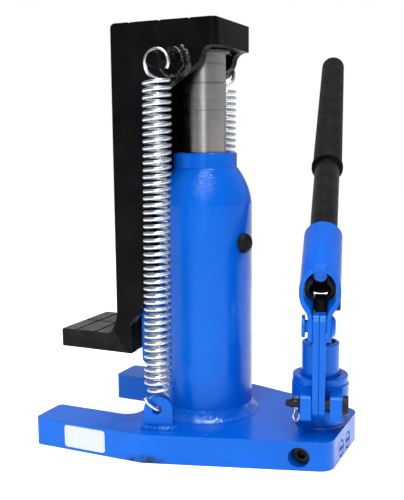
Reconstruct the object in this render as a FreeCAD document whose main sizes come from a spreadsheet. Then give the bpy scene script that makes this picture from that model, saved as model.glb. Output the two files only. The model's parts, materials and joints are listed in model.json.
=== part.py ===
import FreeCAD, Part
import math
import os
import Sketcher

# Hydraulic toe jack. Millimetres, +Z up, toe towards -X, pump towards +X.
# The origin is on the base's underside, on the ram's axis. The ram is drawn part way up.

V3 = FreeCAD.Vector
doc = FreeCAD.newDocument("toe_jack")
sheet = doc.addObject("Spreadsheet::Sheet", "dims")

DIMENSIONS = [
    ("base_t", 24, "base plate thickness"),
    ("fork_tip_x", -124, "end of the fork's legs"),
    ("fork_half_w", 86, "half width over the fork"),
    ("fork_inner_w", 49, "half width of the gap between the legs"),
    ("fork_root_x", -47, "closed end of that gap"),
    ("taper_x", -20, "where the base starts to narrow"),
    ("tail_x", 126, "pump end of the base"),
    ("tail_half_w", 42, "half width at the pump end"),
    ("res_r", 40, "reservoir outer radius"),
    ("res_wall", 4, "reservoir wall"),
    ("res_top", 206, "where the shoulder starts"),
    ("shoulder_top", 236.7, "where the shoulder meets the cylinder"),
    ("cyl_r", 27.2, "cylinder outer radius"),
    ("cyl_top", 249.2, "top of the cylinder"),
    ("bore_r", 21, "cylinder bore radius"),
    ("bore_floor", 13.5, "lower end of the cylinder"),
    ("gland_z", 190, "lower end of the gland nut"),
    ("gland_r", 23.5, "gland nut outer radius"),
    ("ram_r", 18, "ram radius"),
    ("ram_foot", 87, "lower end of the ram"),
    ("piston_h", 30, "piston height"),
    ("head_z", 334.4, "underside of the head"),
    ("head_t", 22, "head thickness"),
    ("head_x", 27.4, "pump side end of the head"),
    ("frame_x", -69.2, "outer face of the upright"),
    ("frame_half_w", 37.4, "half width of the lifting frame"),
    ("strip_x", -55.5, "inner face of the upright's edges"),
    ("web_x", -57, "inner face of the upright between its edges"),
    ("cheek_x", -32.5, "inner edge of the cheeks"),
    ("cheek_in", 27.7, "inner faces of the cheeks"),
    ("toe_tip_x", -127.4, "tip of the toe"),
    ("toe_z", 75.3, "underside of the toe"),
    ("toe_top", 91.7, "top of the toe"),
    ("rail_half_w", 27.1, "half width of the guide rail"),
    ("rail_x", -50.3, "outer face of the guide rail"),
    ("rail_z", 65.5, "lower end of the guide rail"),
    ("spring_y", 66, "distance of each spring from the middle"),
    ("pin_x", -10.8, "spring pin position"),
    ("pin_z", 322, "spring pin height"),
    ("pin_r", 6.2, "spring pin radius"),
    ("pin_end", 72.5, "outer end of the spring pins"),
    ("lug_x", -13.8, "spring lug position"),
    ("lug_z", 40, "spring lug hole height"),
    ("lug_r", 12, "spring lug half width"),
    ("lug_t", 6, "spring lug thickness"),
    ("lug_turn", 17, "angle of the spring lugs"),
    ("pump_x", 104, "pump axis"),
    ("pump_r", 15.5, "pump body radius"),
    ("pump_top", 94, "top of the pump body"),
    ("plunger_r", 8, "plunger radius"),
    ("collar_r", 23.7, "swivel collar radius"),
    ("collar_z", 40, "lower face of the swivel collar"),
    ("collar_top", 60.5, "upper face of the swivel collar"),
    ("ring_r", 23, "retaining ring radius"),
    ("ring_top", 66.8, "upper face of the retaining ring"),
    ("swivel", 14.5, "angle of the swivel collar"),
    ("link_u", 31, "reach of the link pins from the pump axis"),
    ("link_low_z", 50, "height of the lower link pin"),
    ("link_high_z", 113.7, "height of the upper link pin"),
    ("joint_r", 5, "radius of the three linkage pins"),
    ("plunger_pin_z", 125, "height of the plunger pin"),
    ("link_t", 4.9, "link plate thickness"),
    ("link_half_w", 9.5, "link plate half width"),
    ("lift_deg", 26.9, "handle angle above the horizontal"),
    ("mouth_u", 35.6, "socket mouth, distance from the pump axis"),
    ("mouth_z", 141.5, "socket mouth height"),
    ("socket_mid_r", 14.75, "mid line radius of the folded socket"),
    ("socket_t", 3.5, "socket sheet thickness"),
    ("socket_len", 76.7, "socket length from its mouth"),
    ("bar_r", 12, "handle bar radius"),
    ("bar_wall", 3.5, "handle bar wall"),
    ("bar_start", 3, "inner end of the bar, from the mouth"),
    ("bar_end", 452, "outer end of the bar, from the mouth"),
    ("grip_start", 198, "inner end of the grip, from the mouth"),
    ("grip_end", 457, "outer end of the grip, from the mouth"),
    ("release_x", 101.5, "release screw position"),
    ("release_z", 11, "release screw height"),
    ("line_z", 9, "height of the drilled oil lines"),
    ("feed_y", 8, "pressure line position"),
    ("drain_y", -12, "return line position"),
    ("filler_z", 174, "filler plug height"),
    ("filler_deg", -15, "filler plug angle round the reservoir"),
]
for row, (alias, value, meaning) in enumerate(DIMENSIONS, start=1):
    sheet.set(f"A{row}", meaning)
    sheet.set(f"B{row}", str(value))
    sheet.setAlias(f"B{row}", alias)
doc.recompute()


class Size:
    """A number together with the spreadsheet formula it comes from."""

    def __init__(self, value, text):
        self.value = float(value)
        self.text = text

    def combine(self, other, sign, value):
        text = other.text if isinstance(other, Size) else repr(float(other))
        return Size(value, f"({self.text} {sign} {text})")

    def __add__(self, other):
        return self.combine(other, "+", self.value + number(other))

    def __sub__(self, other):
        return self.combine(other, "-", self.value - number(other))

    def __mul__(self, other):
        return self.combine(other, "*", self.value * number(other))

    def __neg__(self):
        return Size(-self.value, f"(0 - {self.text})")


def number(size):
    return size.value if isinstance(size, Size) else float(size)


class Dimensions:
    """Gives each spreadsheet alias as a Size."""

    def __getattr__(self, alias):
        return Size(sheet.get(alias), f"dims.{alias}")


D = Dimensions()


def bind(obj, prop, size, unit=""):
    """Sets a property, and ties it to the spreadsheet where the size comes from there."""
    if isinstance(size, Size):
        obj.setExpression(prop, size.text + unit)
    elif "." not in prop:
        setattr(obj, prop, size)


def point(x, y, z):
    return V3(number(x), number(y), number(z))


def put(obj, base=(0, 0, 0), rotation=None):
    """Places an object, with the position tied to the spreadsheet."""
    obj.Placement = FreeCAD.Placement(point(*base), rotation or FreeCAD.Rotation())
    for axis, size in zip("xyz", base):
        bind(obj, f"Placement.Base.{axis}", size)
    return obj


def aim(direction):
    return FreeCAD.Rotation(V3(0, 0, 1), V3(*[number(part) for part in direction]))


# ---------------------------------------------------------------- building blocks

def origin_plane(body, role):
    for feature in body.Origin.OriginFeatures:
        if feature.Role == role:
            return feature
    return None


def pin_point(sketch, geometry, end, target):
    """Fixes one sketch point to its two coordinates."""
    for kind, size, axis in (("DistanceX", target[0], -2), ("DistanceY", target[1], -1)):
        if abs(number(size)) < 1e-9:
            sketch.addConstraint(Sketcher.Constraint("PointOnObject", geometry, end, axis))
            continue
        index = sketch.addConstraint(Sketcher.Constraint(kind, -1, 1, geometry, end, number(size)))
        if isinstance(size, Size):
            sketch.setExpression(f"Constraints[{index}]", size.text)


def draw(body, name, role, outline, offset=0):
    """Closed sketch. Each entry is (x, y), or (mid x, mid y, x, y) for an arc to x, y."""
    sketch = body.newObject("Sketcher::SketchObject", name)
    sketch.AttachmentSupport = (origin_plane(body, role), [""])
    sketch.MapMode = "FlatFace"
    if number(offset):
        sketch.AttachmentOffset = FreeCAD.Placement(V3(0, 0, number(offset)), FreeCAD.Rotation())
        bind(sketch, "AttachmentOffset.Base.z", offset)
    here = outline[-1][-2:]
    joints = []
    for entry in outline:
        there = entry[-2:]
        start = V3(number(here[0]), number(here[1]), 0)
        end = V3(number(there[0]), number(there[1]), 0)
        if len(entry) == 2:
            geometry = sketch.addGeometry(Part.LineSegment(start, end), False)
        else:
            middle = V3(number(entry[0]), number(entry[1]), 0)
            geometry = sketch.addGeometry(Part.Arc(start, middle, end), False)
        first = 1 if sketch.getPoint(geometry, 1).distanceToPoint(start) < 1e-6 else 2
        joints.append((geometry, first, 3 - first, here))
        here = there
    for index, (geometry, first, last, place) in enumerate(joints):
        before = joints[index - 1]
        sketch.addConstraint(Sketcher.Constraint("Coincident", before[0], before[2], geometry, first))
        pin_point(sketch, geometry, first, place)
    return sketch


def new_body(label):
    body = doc.addObject("PartDesign::Body", label)
    body.Label = label
    return body


def turned(label, profile, body=None):
    """Body turned about Z from an outline of (radius, height) points."""
    body = body or new_body(label)
    sketch = draw(body, label + "_outline", "XZ_Plane", profile)
    turn = body.newObject("PartDesign::Revolution", label + "_turn")
    turn.Profile = sketch
    turn.ReferenceAxis = (sketch, ["V_Axis"])
    turn.Angle = 360
    return body


def cut_from(body, name, role, outline, length, offset=0, both=True, reverse=False):
    """Pocket in a body."""
    sketch = draw(body, name + "_outline", role, outline, offset)
    pocket = body.newObject("PartDesign::Pocket", name)
    pocket.Profile = sketch
    pocket.SideType = "Symmetric" if both else "One side"
    pocket.Reversed = reverse
    bind(pocket, "Length", length)
    return pocket


def add_to(body, name, role, outline, length, offset=0, both=True, reverse=False):
    """Pad in a body."""
    sketch = draw(body, name + "_outline", role, outline, offset)
    pad = body.newObject("PartDesign::Pad", name)
    pad.Profile = sketch
    pad.SideType = "Symmetric" if both else "One side"
    pad.Reversed = reverse
    bind(pad, "Length", length)
    return pad


def rod(label, radius, length, base, direction=(0, 0, 1)):
    item = doc.addObject("Part::Cylinder", label)
    item.Label = label
    bind(item, "Radius", radius)
    bind(item, "Height", length)
    return put(item, base, aim(direction))


def block(label, size, base, rotation=None):
    item = doc.addObject("Part::Box", label)
    item.Label = label
    for prop, value in zip(("Length", "Width", "Height"), size):
        bind(item, prop, value)
    return put(item, base, rotation)


def ball(label, radius, base):
    item = doc.addObject("Part::Sphere", label)
    item.Label = label
    bind(item, "Radius", radius)
    return put(item, base)


def hoop(label, ring_radius, wire_radius, base, direction=(0, 0, 1)):
    item = doc.addObject("Part::Torus", label)
    item.Label = label
    bind(item, "Radius1", ring_radius)
    bind(item, "Radius2", wire_radius)
    return put(item, base, aim(direction))


def join(label, items):
    item = doc.addObject("Part::MultiFuse", label)
    item.Label = label
    item.Shapes = items
    item.Refine = True
    return item


def carve(label, blank, tools):
    item = doc.addObject("Part::Cut", label)
    item.Label = label
    item.Base = blank
    item.Tool = tools[0] if len(tools) == 1 else join(label + "_tools", tools)
    item.Refine = True
    return item


def overlap(label, items):
    item = doc.addObject("Part::MultiCommon", label)
    item.Label = label
    item.Shapes = items
    return item


def group(label, items):
    """Identical separate pieces kept as one node."""
    item = doc.addObject("Part::Compound", label)
    item.Label = label
    item.Links = items
    return item


def tube(label, outer, inner, length, base, direction=(0, 0, 1)):
    blank = rod(label + "_outer", outer, length, base, direction)
    return carve(label, blank, [rod(label + "_inner", inner, length, base, direction)])


def round_edges(source, label, radius, places, tolerance=1.0, chamfer=False):
    """Rounds or bevels the edges whose middle is near one of the places."""
    doc.recompute()
    item = doc.addObject("Part::Chamfer" if chamfer else "Part::Fillet", label)
    item.Label = label
    item.Base = source
    edges = []
    for index, edge in enumerate(source.Shape.Edges, start=1):
        middle = edge.valueAt((edge.FirstParameter + edge.LastParameter) / 2)
        if any(middle.distanceToPoint(place) < tolerance for place in places):
            edges.append((index, radius, radius))
    item.Edges = edges
    return item


NODES = []


def node(item, label=None):
    """Marks an object as one of the jack's pieces."""
    if label:
        item.Label = label
    NODES.append(item)
    return item


def coil(radius, wire, length, turns):
    """Compression spring standing on the XY plane."""
    pitch = length / turns
    helix = Part.makeHelix(pitch, length, radius)
    section = Part.Wire([Part.makeCircle(wire, V3(radius, 0, 0), V3(0, 1, pitch / 6.28 / radius))])
    return Part.Wire(helix.Edges).makePipeShell([section], True, True)


def free_shape(label, shape, base=(0, 0, 0), rotation=None):
    """Swept wire, which no primitive or sketch gives."""
    item = doc.addObject("Part::Feature", label)
    item.Label = label
    item.Shape = shape
    return put(item, base, rotation)


# ---------------------------------------------------------------- base plate

corner = 14
tail_turn = 13
blank = new_body("base_blank")
add_to(blank, "base_pad", "XY_Plane", [
    (D.fork_tip_x, D.fork_inner_w),
    (D.fork_root_x - corner, D.fork_inner_w),
    (D.fork_root_x - corner * 0.293, D.fork_inner_w - corner * 0.293, D.fork_root_x, D.fork_inner_w - corner),
    (D.fork_root_x, -D.fork_inner_w + corner),
    (D.fork_root_x - corner * 0.293, -D.fork_inner_w + corner * 0.293, D.fork_root_x - corner, -D.fork_inner_w),
    (D.fork_tip_x, -D.fork_inner_w),
    (D.fork_tip_x, -D.fork_half_w),
    (D.taper_x, -D.fork_half_w),
    (D.tail_x, -D.tail_half_w),
    (D.tail_x, D.tail_half_w),
    (D.taper_x, D.fork_half_w),
    (D.fork_tip_x, D.fork_half_w),
], D.base_t, both=False)
half_t = number(D.base_t) / 2
tips = [point(D.fork_tip_x, s * number(w), half_t) for s in (-1, 1) for w in (D.fork_half_w, D.fork_inner_w)]
tails = [point(D.tail_x, s * number(D.tail_half_w), half_t) for s in (-1, 1)]
hips = [point(D.taper_x, s * number(D.fork_half_w), half_t) for s in (-1, 1)]
base = round_edges(blank, "base_tips", 4, tips)
base = round_edges(base, "base_tails", tail_turn, tails)
base = round_edges(base, "base_hips", 25, hips)

below = D.line_z - 6
base_tools = [
    rod("cylinder_seat", D.cyl_r, D.base_t, (0, 0, 12)),
    rod("pump_seat", 13, D.base_t, (D.pump_x, 0, 16)),
    rod("feed_line", 2, D.pump_x - 6, (10, D.feed_y, D.line_z), (1, 0, 0)),
    rod("feed_rise", 2.5, 5, (10, D.feed_y, D.line_z)),
    rod("drain_line", 2, D.tail_x - 28, (28, D.drain_y, D.line_z), (1, 0, 0)),
    rod("drain_rise", 2.6, D.base_t, (29.2, D.drain_y, D.line_z)),
    rod("drain_thread", 7.3, 8, (D.tail_x - 7, D.drain_y, D.line_z), (1, 0, 0)),
    rod("safety_bore", 4, 20, (D.tail_x - 18, D.feed_y, D.line_z), (1, 0, 0)),
    rod("safety_thread", 7.3, 8, (D.tail_x - 7, D.feed_y, D.line_z), (1, 0, 0)),
    rod("cross_line", 1.5, D.feed_y - D.drain_y, (110.6, D.drain_y, D.line_z), (0, 1, 0)),
    rod("suction_rise", 1.6, 8, (110.6, -3, D.line_z)),
    rod("suction_pocket", 3.2, 4, (110.6, -3, 14)),
    rod("delivery_rise", 1.6, 6, (100, D.feed_y, 12)),
    rod("delivery_pocket", 3.8, 11.5, (100, D.feed_y, 2)),
    rod("delivery_thread", 5, 5, (100, D.feed_y, -1)),
    rod("release_recess", 8.2, 40, (D.release_x, -31.8, D.release_z), (0, -1, 0)),
    rod("release_thread", 6, 15, (D.release_x, -18, D.release_z), (0, -1, 0)),
    rod("release_chamber", 4.5, 10, (D.release_x, -18.5, D.release_z), (0, 1, 0)),
    rod("release_seat", 1.5, D.feed_y + 9, (D.release_x, D.feed_y, D.release_z), (0, -1, 0)),
]
node(carve("base_plate", base, base_tools))

# spring lugs, welded to the base, one on each side
lugs = []
for side, name in ((-1, "near"), (1, "far")):
    lug = new_body("spring_lug_" + name)
    add_to(lug, "lug_pad_" + name, "XZ_Plane", [
        (-D.lug_r, D.base_t),
        (D.lug_r, D.base_t),
        (D.lug_r, D.lug_z),
        (0, D.lug_z + D.lug_r, -D.lug_r, D.lug_z),
    ], D.lug_t)
    put(lug, (D.lug_x, D.spring_y * side, 0))
    bind(lug, "Placement.Rotation.Angle", D.lug_turn * -side, " * 1 deg")
    hole = rod("lug_hole_" + name, 4.1, 30, (D.lug_x, D.spring_y * side - 15, D.lug_z), (0, 1, 0))
    lugs.append(carve("lug_" + name, lug, [hole]))
node(group("spring_lugs", lugs))

# ---------------------------------------------------------------- cylinder and reservoir

node(turned("ram_cylinder", [
    (D.bore_r, D.bore_floor),
    (D.cyl_r, D.bore_floor),
    (D.cyl_r, D.cyl_top - 1),
    (D.cyl_r - 1, D.cyl_top),
    (D.gland_r, D.cyl_top),
    (D.gland_r, D.gland_z),
    (D.bore_r, D.gland_z),
]))
inner_r = D.res_r - D.res_wall
shell = turned("reservoir_shell", [
    (inner_r, D.base_t),
    (D.res_r + 7, D.base_t),
    (D.res_r + 2.6, D.base_t + 2.8, D.res_r, D.base_t + 7.5),
    (D.res_r, D.res_top),
    (D.res_r - 3.6, D.res_top + 14.6, D.cyl_r + 1.2, D.shoulder_top - 1.2),
    (D.cyl_r, D.shoulder_top),
    (D.cyl_r, D.shoulder_top - 5.5),
    (inner_r - 2.6, D.res_top + 11.6, inner_r, D.res_top - 2),
])
filler_dir = (math.cos(math.radians(number(D.filler_deg))), math.sin(math.radians(number(D.filler_deg))), 0)
filler_hole = rod("filler_hole", 5, 60, (0, 0, D.filler_z), filler_dir)
node(carve("reservoir", shell, [filler_hole]))

node(turned("gland_nut", [
    (D.ram_r + 0.07, D.gland_z),
    (D.gland_r, D.gland_z),
    (D.gland_r, D.cyl_top - 1),
    (D.ram_r + 3.6, D.cyl_top - 1),
    (D.ram_r + 3.6, D.cyl_top - 5.5),
    (D.ram_r + 0.07, D.cyl_top - 5.5),
    (D.ram_r + 0.07, D.cyl_top - 20),
    (D.ram_r + 3, D.cyl_top - 20),
    (D.ram_r + 3, D.cyl_top - 25),
    (D.ram_r + 0.07, D.cyl_top - 25),
]))
node(tube("rod_wiper", D.ram_r + 3.6, D.ram_r + 0.05, 4.5, (0, 0, D.cyl_top - 5.5)))
node(tube("rod_seal", D.ram_r + 3, D.ram_r + 0.05, 5, (0, 0, D.cyl_top - 25)))
node(tube("cylinder_gasket", D.cyl_r, D.bore_r, D.bore_floor - 12, (0, 0, 12)))
node(carve("oil_strainer", rod("strainer_cup", 2.6, 8, (29.2, D.drain_y, D.base_t)),
           [rod("strainer_bore", 1.8, 6, (29.2, D.drain_y, D.base_t))]))

# guide rail on the front of the reservoir
rail = new_body("rail_blank")
add_to(rail, "rail_pad", "XZ_Plane", [
    (D.rail_x, D.rail_z + 4),
    (D.rail_x + 1.2, D.rail_z + 1.2, D.rail_x + 4, D.rail_z),
    (-20, D.rail_z),
    (-20, D.res_top - 4),
    (D.rail_x + 4, D.res_top - 4),
    (D.rail_x, D.res_top - 8),
], D.rail_half_w * 2)
node(carve("guide_rail", rail, [rod("rail_bore", D.res_r, 300, (0, 0, 0))]))

# rubber filler plug
plug = turned("filler_plug", [
    (0, 35),
    (4.6, 35),
    (4.6, D.res_r + 0.6),
    (8.4, D.res_r + 0.9),
    (8.4, D.res_r + 2.4),
    (6.4, D.res_r + 5.6, 1.5, D.res_r + 6.8),
    (0, D.res_r + 6.8),
])
put(plug, (0, 0, D.filler_z), aim(filler_dir))
node(plug)

# blank sticker on the outside of one leg
sticker = new_body("fork_sticker")
left, right, low, high, turn = -94, -54.5, 2.6, 21.6, 2.5
arc = turn * 0.293
add_to(sticker, "sticker_pad", "XZ_Plane", [
    (left, low + turn),
    (left + arc, low + arc, left + turn, low),
    (right - turn, low),
    (right - arc, low + arc, right, low + turn),
    (right, high - turn),
    (right - arc, high - arc, right - turn, high),
    (left + turn, high),
    (left + arc, high - arc, left, high - turn),
], 0.3, offset=D.fork_half_w, both=False)
node(sticker)

# ---------------------------------------------------------------- ram

node(turned("ram", [
    (0, D.ram_foot),
    (D.bore_r - 1.5, D.ram_foot),
    (D.bore_r - 0.06, D.ram_foot + 1.5),
    (D.bore_r - 0.06, D.ram_foot + 12),
    (D.bore_r - 4, D.ram_foot + 12),
    (D.bore_r - 4, D.ram_foot + 19),
    (D.bore_r - 0.06, D.ram_foot + 19),
    (D.bore_r - 0.06, D.ram_foot + D.piston_h),
    (D.ram_r, D.ram_foot + D.piston_h),
    (D.ram_r, D.head_z),
    (12, D.head_z),
    (12, D.head_z + 12),
    (0, D.head_z + 12),
]))
node(tube("piston_seal", D.bore_r - 0.03, D.bore_r - 4, 7, (0, 0, D.ram_foot + 12)))

# ---------------------------------------------------------------- lifting frame

head_top = D.head_z + D.head_t
seam_high = (D.frame_x - 4.6, D.toe_top + 4.2)
seam_low = (D.frame_x + 9.6, D.toe_z)
frame = new_body("frame_blank")
add_to(frame, "frame_side", "XZ_Plane", [
    seam_low,
    (D.strip_x, D.toe_z),
    (D.strip_x, D.toe_z + 26),
    (D.cheek_x, D.toe_z + 59),
    (D.cheek_x, D.head_z - 46),
    (D.cheek_x + 2.5, D.head_z - 41, D.cheek_x + 7, D.head_z - 37),
    (12, D.head_z - 13),
    (14, D.head_z - 9),
    (16.6, D.head_z - 2.6, 23, D.head_z),
    (D.head_x, D.head_z),
    (D.head_x, head_top - 1),
    (D.head_x - 1, head_top),
    (D.frame_x + 4, head_top),
    (D.frame_x + 1.2, head_top - 1.2, D.frame_x, head_top - 4),
    (D.frame_x, D.toe_top + 22),
    (D.frame_x - 1.2, D.toe_top + 11.8, seam_high[0], seam_high[1]),
], D.frame_half_w * 2)
cut_from(frame, "channel", "XZ_Plane", [
    (D.web_x, D.toe_z - 10),
    (60, D.toe_z - 10),
    (60, D.head_z),
    (D.web_x + 6, D.head_z),
    (D.web_x + 1.8, D.head_z - 1.8, D.web_x, D.head_z - 6),
], D.cheek_in * 2)
groove_w = 2.2
groove_d = 1.5
for index, middle in enumerate((-51.2, -23.2, 3.6)):
    cut_from(frame, f"head_groove_{index}", "XZ_Plane", [
        (middle - groove_w / 2, head_top - groove_d),
        (middle + groove_w / 2, head_top - groove_d),
        (middle + groove_w / 2, head_top + 1),
        (middle - groove_w / 2, head_top + 1),
    ], D.frame_half_w * 2 + 2)
cut_from(frame, "head_long_groove", "YZ_Plane", [
    (-groove_w / 2, head_top - groove_d),
    (groove_w / 2, head_top - groove_d),
    (groove_w / 2, head_top + 1),
    (-groove_w / 2, head_top + 1),
], 300)
middle_z = number(D.head_z) + number(D.head_t) / 2 - 0.5
nose = [point(D.head_x, s * number(D.frame_half_w), middle_z) for s in (-1, 1)]
frame = round_edges(frame, "frame_nose", 6, nose, tolerance=1.5)
node(carve("lift_frame", frame, [rod("ram_socket", 12, 12, (0, 0, D.head_z))]))

toe = new_body("toe_claw")
add_to(toe, "toe_side", "XZ_Plane", [
    (D.toe_tip_x, D.toe_z + 1),
    (D.toe_tip_x + 1, D.toe_z),
    seam_low,
    seam_high,
    (D.frame_x - 7.2, D.toe_top + 1, D.frame_x - 12, D.toe_top),
    (D.toe_tip_x + 1, D.toe_top),
    (D.toe_tip_x, D.toe_top - 1),
], D.frame_half_w * 2)
for index, middle in enumerate((-112, -92)):
    cut_from(toe, f"toe_groove_{index}", "XZ_Plane", [
        (middle - groove_w / 2, D.toe_top - groove_d),
        (middle + groove_w / 2, D.toe_top - groove_d),
        (middle + groove_w / 2, D.toe_top + 1),
        (middle - groove_w / 2, D.toe_top + 1),
    ], D.frame_half_w * 2 + 2)
cut_from(toe, "toe_long_groove", "YZ_Plane", [
    (-groove_w / 2, D.toe_top - groove_d),
    (groove_w / 2, D.toe_top - groove_d),
    (groove_w / 2, D.toe_top + 1),
    (-groove_w / 2, D.toe_top + 1),
], 50, offset=-105)
node(toe)

pins = []
for side, name in ((-1, "near"), (1, "far")):
    pin = turned("spring_pin_" + name, [
        (0, D.frame_half_w),
        (12, D.frame_half_w),
        (D.pin_r + 2.2, D.frame_half_w + 2.6, D.pin_r, D.frame_half_w + 6),
        (D.pin_r, D.pin_end - 0.8),
        (D.pin_r - 0.8, D.pin_end),
        (0, D.pin_end),
    ])
    put(pin, (D.pin_x, 0, D.pin_z), aim((0, side, 0)))
    pins.append(pin)
node(group("spring_pins", pins))

# ---------------------------------------------------------------- return springs

spring_r = 10.0
wire_r = 1.6
coil_low = 60
coil_high = 306
turns = 44


def swept(points, wire, pieces=1):
    """Round wire along a smooth line through the points, swept in a number of pieces."""
    curve = Part.BSplineCurve()
    curve.interpolate(Points=points)
    first = curve.FirstParameter
    step = (curve.LastParameter - first) / pieces
    path = [Part.Edge(curve, first + step * k, first + step * (k + 1)) for k in range(pieces)]
    start = path[0]
    section = Part.Wire([Part.makeCircle(wire, start.valueAt(first), start.tangentAt(first))])
    return Part.Wire(path).makePipeShell([section], True, False)


def return_spring(side):
    """Tension spring in one wire: lug hook, coil and pin loop. The far one is turned half round."""
    way = -side
    y = side * number(D.spring_y)
    low = V3(number(D.lug_x), y, coil_low)
    high = V3(number(D.pin_x), y, coil_high)
    hole = V3(number(D.lug_x), y, number(D.lug_z))
    axis = high - low
    lean = FreeCAD.Placement(low, FreeCAD.Rotation(V3(0, 0, 1), axis))
    lug_turn = math.radians(number(D.lug_turn))
    out = V3(math.sin(lug_turn), side * math.cos(lug_turn), 0) * 5.2

    def beside(centre, across, outward, up):
        return centre + V3(across * way, outward * way, up)

    wire_path = [
        beside(hole, -8.2, -7.5, 11), beside(hole, -5.4, -7.3, 6.2), hole + out + V3(-0.6 * way, 0, 1.4),
        hole + V3(0, 0, 0.2), hole - out + V3(0, 0, 1.2), beside(hole, 3.0, 8.0, 5.5),
        beside(low, 4.2, 7.6, -9.5), beside(low, -1.8, 6.6, -6.4), beside(low, -7.2, 1.6, -4.6),
        beside(low, -5.5, -5.6, -3.2), beside(low, 2.0, -8.4, -2.0), beside(low, 8.8, -4.6, -0.8),
    ]
    steps = 12
    for step in range(turns * steps + 1):
        angle = 2 * math.pi * step / steps
        height = axis.Length * step / (turns * steps)
        across = spring_r * math.cos(angle) * way
        outward = spring_r * math.sin(angle) * way
        wire_path.append(lean.multVec(V3(across, outward, height)))
    wire_path += [beside(high, 5.5, 8.2, 1.2), beside(high, -3.5, 8.6, 2.6), beside(high, -9.2, 3.2, 6.5)]
    loop = V3(high.x, y, number(D.pin_z) + number(D.pin_r) + wire_r + 0.2 - spring_r)
    for angle in (180, 150, 120, 90, 60, 30, 0, -30):
        turn = math.radians(angle)
        wire_path.append(beside(loop, spring_r * math.cos(turn), 0, spring_r * math.sin(turn)))
    return swept(wire_path, wire_r, pieces=6)


node(free_shape("spring_near", return_spring(-1)))
node(free_shape("spring_far", return_spring(1)))

# ---------------------------------------------------------------- pump, fixed part

pump = turned("pump_body", [
    (D.plunger_r + 0.05, 19),
    (10.5, 19),
    (10.5, 17.2),
    (13, 17.2),
    (13, D.base_t),
    (D.pump_r + 3, D.base_t),
    (D.pump_r + 3, D.collar_z - 0.1),
    (D.pump_r, D.collar_z - 0.1),
    (D.pump_r, D.collar_top + 0.9),
    (D.pump_r - 1.4, D.collar_top + 0.9),
    (D.pump_r - 1.4, D.collar_top + 3.3),
    (D.pump_r, D.collar_top + 3.3),
    (D.pump_r, D.pump_top - 0.8),
    (D.pump_r - 0.8, D.pump_top),
    (12.5, D.pump_top),
    (12.5, D.pump_top - 10),
    (D.plunger_r + 0.05, D.pump_top - 10),
    (D.plunger_r + 0.05, D.pump_top - 15),
    (D.plunger_r + 3, D.pump_top - 15),
    (D.plunger_r + 3, D.pump_top - 19),
    (D.plunger_r + 0.05, D.pump_top - 19),
])
put(pump, (D.pump_x, 0, 0))
node(pump)
gland = turned("pump_gland", [
    (D.plunger_r + 0.06, D.pump_top - 10),
    (12.5, D.pump_top - 10),
    (12.5, D.pump_top - 3.4),
    (11.9, D.pump_top - 2.8),
    (D.plunger_r + 1.2, D.pump_top - 2.8),
    (D.plunger_r + 0.06, D.pump_top - 4),
])
put(gland, (D.pump_x, 0, 0))
node(gland)
node(tube("plunger_seal", D.plunger_r + 3, D.plunger_r + 0.04, 4, (D.pump_x, 0, D.pump_top - 19)))
node(tube("pump_gasket", 13, 10.5, 1.2, (D.pump_x, 0, 16)))

# ---------------------------------------------------------------- valves in the base

node(ball("suction_ball", 2.5, (110.6, -3, 15.96)))
node(ball("delivery_ball", 2.9, (100, D.feed_y, 10.9)))
node(free_shape("delivery_spring", coil(2.4, 0.4, 3.0, 3), (100, D.feed_y, 4.5)))
node(rod("delivery_plug", 5, 3.8, (100, D.feed_y, 0.2)))
node(ball("safety_ball", 2.9, (D.tail_x - 15.7, D.feed_y, D.line_z)))
node(free_shape("safety_spring", coil(2.6, 0.45, 4.2, 3), (D.tail_x - 12.0, D.feed_y, D.line_z), aim((1, 0, 0))))
for label, line_y in (("safety_plug", D.feed_y), ("gallery_plug", D.drain_y)):
    disc = turned(label + "_disc", [
        (0, 0),
        (7.3, 0),
        (7.3, 5.6),
        (6.3, 5.6),
        (6.3, 6.4),
        (5.8, 6.9),
        (0, 6.9),
    ])
    put(disc, (D.tail_x - 7, line_y, D.line_z), aim((1, 0, 0)))
    slot = block(label + "_slot", (4, 10, 2.4), (D.tail_x - 3, line_y - 5, D.line_z - 1.2))
    node(carve(label, disc, [slot]))
node(ball("release_ball", 2.9, (D.release_x, -11, D.release_z)))
screw = turned("release_blank", [
    (0, 14),
    (4, 14),
    (4, 17),
    (3, 17),
    (3, 18.5),
    (4.3, 18.5),
    (5.95, 20),
    (5.95, 32),
    (7.5, 32),
    (7.5, 41.6),
    (6.9, 42.2),
    (0, 42.2),
])
put(screw, (D.release_x, 0, D.release_z), aim((0, -1, 0)))
key = new_body("release_key")
across = 3.5
add_to(key, "release_key_pad", "XZ_Plane", [
    (across * 2 / 3 ** 0.5 * math.cos(math.radians(60 * k)), across * 2 / 3 ** 0.5 * math.sin(math.radians(60 * k)))
    for k in range(6)
], 14)
put(key, (D.release_x, -44, D.release_z))
node(carve("release_screw", screw, [key]))
node(tube("release_seal", 4.3, 3, 1.2, (D.release_x, -18.3, D.release_z), (0, 1, 0)))

# ---------------------------------------------------------------- swivel collar and its pin

AROUND = V3(0, 0, 1)


def swing(item):
    """Places an item drawn on the pump's own axis, lugs towards -Y, at the swivel angle."""
    item.Placement = FreeCAD.Placement(V3(number(D.pump_x), 0, 0), FreeCAD.Rotation(AROUND, number(D.swivel)))
    bind(item, "Placement.Base.x", D.pump_x)
    bind(item, "Placement.Rotation.Angle", D.swivel, " * 1 deg")
    return item


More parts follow.
